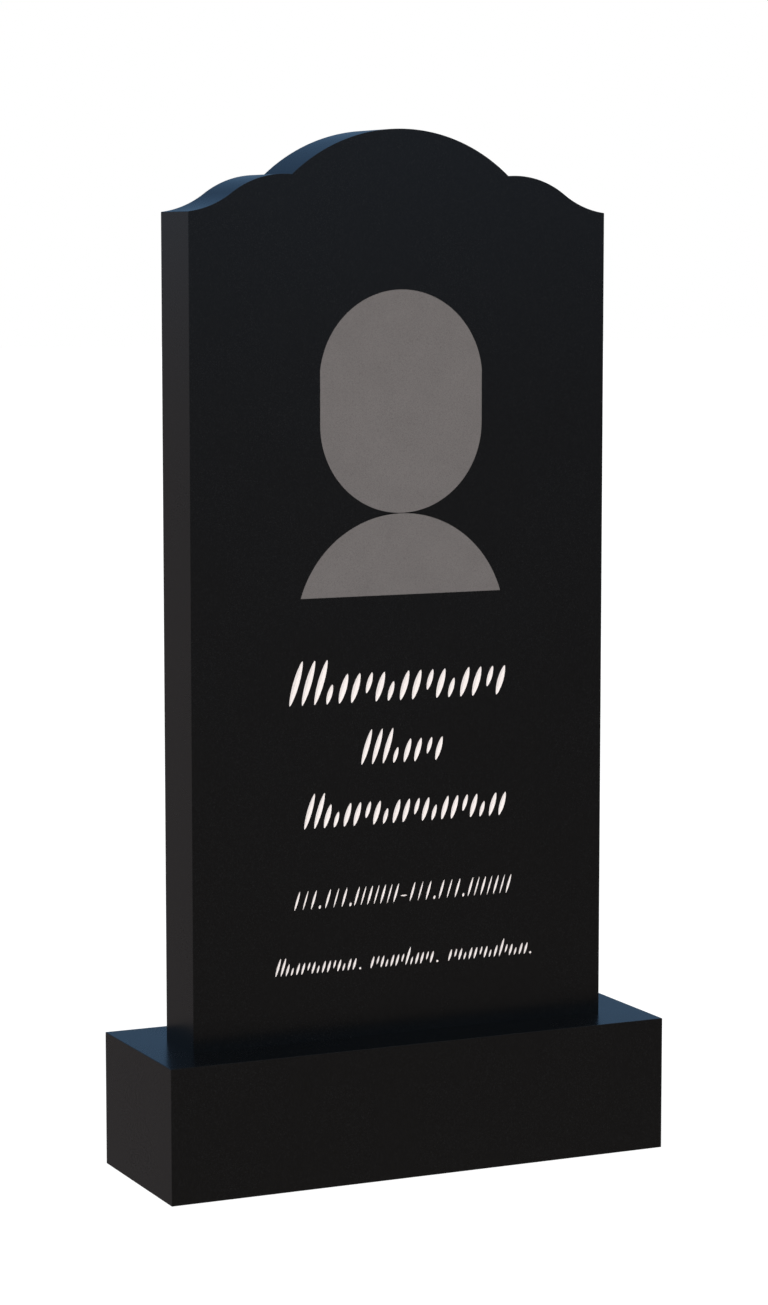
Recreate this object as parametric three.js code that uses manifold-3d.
// A granite headstone: an upright slab with an ogee crown, resting on a plain block.
// Millimetres, +Z up, the front towards -Y, the origin under the middle of the block.

import * as THREE from 'three';
import { mergeVertices } from 'three/addons/utils/BufferGeometryUtils.js';
import Module from 'manifold-3d';

const DEGREE = Math.PI / 180;

// The block under the slab
const PLINTH_WIDTH = 600;
const PLINTH_DEPTH = 200;
const PLINTH_HEIGHT = 150;

// The slab, from its foot to the top of its crown
const STELE_WIDTH = 500;
const STELE_THICKNESS = 80;
const STELE_HEIGHT = 1000;

// The crown: one arc over the middle, and on each side an ogee that swells and then hollows
const CROWN_SPAN = 260;
const CROWN_RISE = 50;
const SWELLING_DROP = 20;
const HOLLOW_DROP = 20;
const HOLLOW_WIDTH = 50;
const OGEE_SLOPE = 36.7 * DEGREE;
const ARC_STEPS = 14;
const CROWN_STEPS = 28;

// The chisel strokes that fill the inscription's place
const STROKE_LEAN = 17.5 * DEGREE;
const CHISEL_SLOPE = 0.42;
const STROKE_FULLNESS = 0.6;
const STROKE_STEPS = 5;
const CHISEL_SIDES = 4;
const POINT_LENGTH_SHARE = 0.2;
const DASH_LEAN = 90 * DEGREE;
const DASH_LENGTH = 8;
const DASH_WEIGHT = 0.6;
const DASH_HEIGHT_SHARE = 0.33;

// One stroke after another along a word, as shares of the row's height and stroke width
const WHOLE = { foot: 0, head: 1, weight: 1 };
const THIN = { foot: 0, head: 1, weight: 0.7 };
const UPPER = { foot: 0.3, head: 1, weight: 0.8 };
const LOWER = { foot: 0, head: 0.66, weight: 0.8 };
const LIVELY = [WHOLE, UPPER, WHOLE, LOWER, WHOLE];
const EVEN = [WHOLE, THIN];

// The rows from the top: baseline above the slab's foot, words by their left and right ends from
// the middle with the numbers of the strokes that rise to the tall height, and the middles of the
// short strokes low between words (points) and of the level ones (dashes)
const ROWS = [
  {
    baseline: 374.5, height: 32.5, tallHeight: 49, strokeWidth: 7.2, pitch: 15.2, rhythm: LIVELY,
    words: [{ left: -138.5, right: 131, tall: [0, 1, 2] }],
  },
  {
    baseline: 305, height: 26, tallHeight: 39, strokeWidth: 5.8, pitch: 12.2, rhythm: LIVELY,
    words: [{ left: -51.5, right: 53, tall: [0, 1, 2] }],
  },
  {
    baseline: 237.5, height: 26, tallHeight: 39, strokeWidth: 5.8, pitch: 12, rhythm: LIVELY,
    words: [{ left: -120.5, right: 132, tall: [0, 1] }],
  },
  {
    baseline: 148, height: 21, tallHeight: 21, strokeWidth: 2.5, pitch: 8.6, rhythm: EVEN,
    words: [
      { left: -131, right: -102 },
      { left: -94, right: -65 },
      { left: -59, right: -2 },
      { left: 9, right: 38 },
      { left: 45, right: 74 },
      { left: 81, right: 138 },
    ],
    points: [-100, -63, 40, 76],
    dashes: [3],
  },
  {
    baseline: 76, height: 13, tallHeight: 20, strokeWidth: 2.7, pitch: 6.2, rhythm: LIVELY,
    words: [
      { left: -154, right: -54, tall: [0, 1] },
      { left: -39, right: 41, tall: [7] },
      { left: 57, right: 159, tall: [10] },
    ],
    points: [-51, 44, 161],
  },
];

const wasm = await Module();
wasm.setup();

// A solid for joining and cutting from a closed geometry
function solidFrom(geometry) {
  const bare = geometry.clone();
  bare.deleteAttribute('normal');
  bare.deleteAttribute('uv');
  const merged = mergeVertices(bare);
  const corners = merged.index.array;
  const triangles = [];
  for (let first = 0; first < corners.length; first += 3) {
    const triangle = [corners[first], corners[first + 1], corners[first + 2]];
    if (new Set(triangle).size === 3) triangles.push(...triangle);
  }
  return new wasm.Manifold(new wasm.Mesh({
    numProp: 3,
    vertProperties: new Float32Array(merged.attributes.position.array),
    triVerts: new Uint32Array(triangles),
  }));
}

function geometryFrom(solid) {
  const mesh = solid.getMesh();
  const geometry = new THREE.BufferGeometry();
  geometry.setAttribute('position', new THREE.BufferAttribute(mesh.vertProperties, 3));
  geometry.setIndex(new THREE.BufferAttribute(mesh.triVerts, 1));
  geometry.computeVertexNormals();
  return geometry;
}

// The points after the first of an arc between two points, whose direction turns by an angle
function arcPoints(start, end, turn, steps) {
  const chord = end.clone().sub(start);
  const radius = chord.length() / (2 * Math.sin(turn / 2));
  const towardsCentre = new THREE.Vector2(-chord.y, chord.x).normalize();
  const centre = start.clone().lerp(end, 0.5).addScaledVector(towardsCentre, radius * Math.cos(turn / 2));
  const points = [];
  for (let step = 1; step <= steps; step += 1) {
    points.push(start.clone().rotateAround(centre, turn * step / steps));
  }
  return points;
}

// The slab's front outline, counterclockwise from the left of its foot, which is at height 0
function steleOutline() {
  const halfWidth = STELE_WIDTH / 2;
  const notch = new THREE.Vector2(CROWN_SPAN / 2, STELE_HEIGHT - CROWN_RISE);
  const turning = new THREE.Vector2(halfWidth - HOLLOW_WIDTH, notch.y - SWELLING_DROP);
  const corner = new THREE.Vector2(halfWidth, turning.y - HOLLOW_DROP);
  const hollowChord = Math.atan2(HOLLOW_DROP, HOLLOW_WIDTH);
  const swellingChord = Math.atan2(SWELLING_DROP, turning.x - notch.x);
  const shoulder = [
    corner,
    ...arcPoints(corner, turning, -2 * (OGEE_SLOPE - hollowChord), ARC_STEPS),
    ...arcPoints(turning, notch, 2 * (OGEE_SLOPE - swellingChord), ARC_STEPS),
  ];
  const otherShoulder = shoulder.map((point) => new THREE.Vector2(-point.x, point.y)).reverse();
  const crownTurn = 4 * Math.atan2(CROWN_RISE, CROWN_SPAN / 2);
  const crown = arcPoints(notch, otherShoulder[0], crownTurn, CROWN_STEPS);
  return [
    new THREE.Vector2(-halfWidth, 0),
    new THREE.Vector2(halfWidth, 0),
    ...shoulder,
    ...crown.slice(0, -1),
    ...otherShoulder,
  ];
}

// A chisel stroke's cutter: a spindle of square section, pointed at both ends, whose rear half cuts
// a V into the face that its axis lies in
function strokeCutter(x, z, length, width, lean) {
  const profile = [];
  for (let step = 0; step <= STROKE_STEPS; step += 1) {
    const share = step / STROKE_STEPS;
    const swelling = Math.max(0, Math.sin(Math.PI * share)) ** STROKE_FULLNESS;
    profile.push(new THREE.Vector2(width / 2 * swelling, length * share));
  }
  const spindle = new THREE.LatheGeometry(profile, CHISEL_SIDES);
  spindle.scale(1, 1, CHISEL_SLOPE);
  spindle.rotateX(Math.PI / 2);
  spindle.rotateY(lean);
  spindle.translate(x, -STELE_THICKNESS / 2, z);
  return solidFrom(spindle);
}

// The strokes of one word, evenly spaced and leaning to the right, the last of them whole
function wordCutters(row, { left, right, tall = [] }) {
  const run = Math.tan(STROKE_LEAN);
  const span = right - left - row.strokeWidth - run * row.height;
  const gaps = Math.max(1, Math.round(span / row.pitch));
  const cutters = [];
  for (let number = 0; number <= gaps; number += 1) {
    const isTall = tall.includes(number);
    const beat = number === gaps || isTall ? WHOLE : row.rhythm[number % row.rhythm.length];
    const foot = beat.foot * row.height;
    const head = beat.head * (isTall ? row.tallHeight : row.height);
    const x = left + row.strokeWidth / 2 + span * number / gaps + run * foot;
    const length = (head - foot) / Math.cos(STROKE_LEAN);
    cutters.push(strokeCutter(x, row.baseline + foot, length, row.strokeWidth * beat.weight, STROKE_LEAN));
  }
  return cutters;
}

// A short stroke on the baseline
function pointCutter(row, x) {
  return strokeCutter(x, row.baseline, POINT_LENGTH_SHARE * row.height, row.strokeWidth, STROKE_LEAN);
}

// A level stroke partway up the row
function dashCutter(row, x) {
  const z = row.baseline + DASH_HEIGHT_SHARE * row.height;
  return strokeCutter(x - DASH_LENGTH / 2, z, DASH_LENGTH, DASH_WEIGHT * row.strokeWidth, DASH_LEAN);
}

function rowCutters(row) {
  const { words, points = [], dashes = [] } = row;
  return [
    ...words.flatMap((word) => wordCutters(row, word)),
    ...points.map((x) => pointCutter(row, x)),
    ...dashes.map((x) => dashCutter(row, x)),
  ];
}

// The slab with its strokes cut, its foot at height 0
function steleGeometry() {
  const slab = new THREE.ExtrudeGeometry(new THREE.Shape(steleOutline()), {
    depth: STELE_THICKNESS,
    bevelEnabled: false,
  });
  slab.rotateX(Math.PI / 2);
  slab.translate(0, STELE_THICKNESS / 2, 0);
  const cut = ROWS.flatMap(rowCutters).reduce((solid, cutter) => solid.subtract(cutter), solidFrom(slab));
  return geometryFrom(cut);
}

function plinthGeometry() {
  const block = new THREE.BoxGeometry(PLINTH_WIDTH, PLINTH_DEPTH, PLINTH_HEIGHT);
  block.translate(0, 0, PLINTH_HEIGHT / 2);
  return block;
}

const polishedGranite = new THREE.MeshStandardMaterial({ color: 0x17181a, roughness: 0.25, metalness: 0 });

const plinth = new THREE.Mesh(plinthGeometry(), polishedGranite.clone());
plinth.name = 'plinth';

const stele = new THREE.Mesh(steleGeometry(), polishedGranite.clone());
stele.name = 'stele';
stele.position.z = PLINTH_HEIGHT;

const headstone = new THREE.Group();
headstone.add(plinth, stele);

export default headstone;
